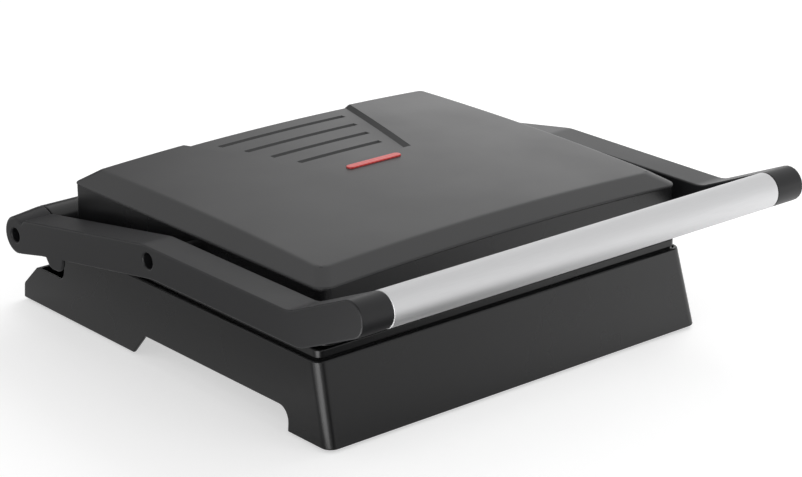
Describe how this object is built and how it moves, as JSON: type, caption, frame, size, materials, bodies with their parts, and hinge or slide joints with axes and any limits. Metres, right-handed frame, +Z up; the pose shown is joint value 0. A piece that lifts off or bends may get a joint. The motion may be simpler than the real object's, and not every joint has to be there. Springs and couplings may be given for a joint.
{
  "type": "contact grill",
  "caption": "Countertop contact grill: ribbed cooking plates in a base and a crowned lid that tilts in a U-shaped handle yoke, hinged on a barrel across the rear.",
  "frame": {"origin": "centre of the footprint of the whole closed object, on the plane that the rubber feet stand on", "axes": "+Z up, +X to the user's right, -Y towards the handle tube at the front"},
  "size_m": [0.351, 0.3802, 0.1158],
  "materials": {
    "housing": "satin black",
    "housing_dark": "matte black",
    "arm": "satin black",
    "lid": "satin charcoal with a faint metallic sheen",
    "tube": "satin silver",
    "cast_plate": "cast, with a dark non-stick coating",
    "sheet_aluminium": "bright rolled sheet",
    "element_sheath": "dull",
    "screw_steel": "zinc plated",
    "ceramic": "unglazed",
    "nylon": "natural nylon",
    "foot_rubber": "matte",
    "red_lens": "translucent red"
  },
  "bodies": {
    "base": {"base_housing": "housing", "bottom_cover": "housing_dark", "base_rim": "housing", "rubber_feet": "foot_rubber", "cover_screws": "screw_steel", "lower_plate": "cast_plate", "lower_element": "element_sheath", "lower_reflector": "sheet_aluminium", "lower_thermostat": "ceramic", "lower_plate_screws": "screw_steel", "lower_reflector_screws": "screw_steel", "thermal_fuse": "element_sheath", "terminal_block": "ceramic", "cord_gland": "foot_rubber", "hinge_barrel": "housing", "barrel_screws": "screw_steel", "left_hinge_pin": "screw_steel", "right_hinge_pin": "screw_steel"},
    "yoke": {"left_arm": "arm", "right_arm": "arm", "handle_tube": "tube", "hinge_bushes": "nylon", "pivot_bushes": "nylon"},
    "lid": {"lid_cover": "lid", "lid_frame": "housing", "lid_screws": "screw_steel", "upper_plate": "cast_plate", "upper_element": "element_sheath", "upper_reflector": "sheet_aluminium", "upper_thermostat": "ceramic", "upper_plate_screws": "screw_steel", "upper_reflector_screws": "screw_steel", "lamp_lens": "red_lens", "lamp_holder": "nylon", "left_lid_pivot": "screw_steel", "right_lid_pivot": "screw_steel"}
  },
  "joints": [
    {"name": "handle_hinge", "type": "hinge", "parent": "base", "child": "yoke", "pos_m": [0, 0.1561, 0.0598], "axis": [-1, 0, 0], "range_deg": [0, 180]},
    {"name": "lid_float", "type": "hinge", "parent": "yoke", "child": "lid", "pos_m": [0, 0.00925, 0.0843], "axis": [-1, 0, 0], "range_deg": [-0.7, 0.7]}
  ]
}
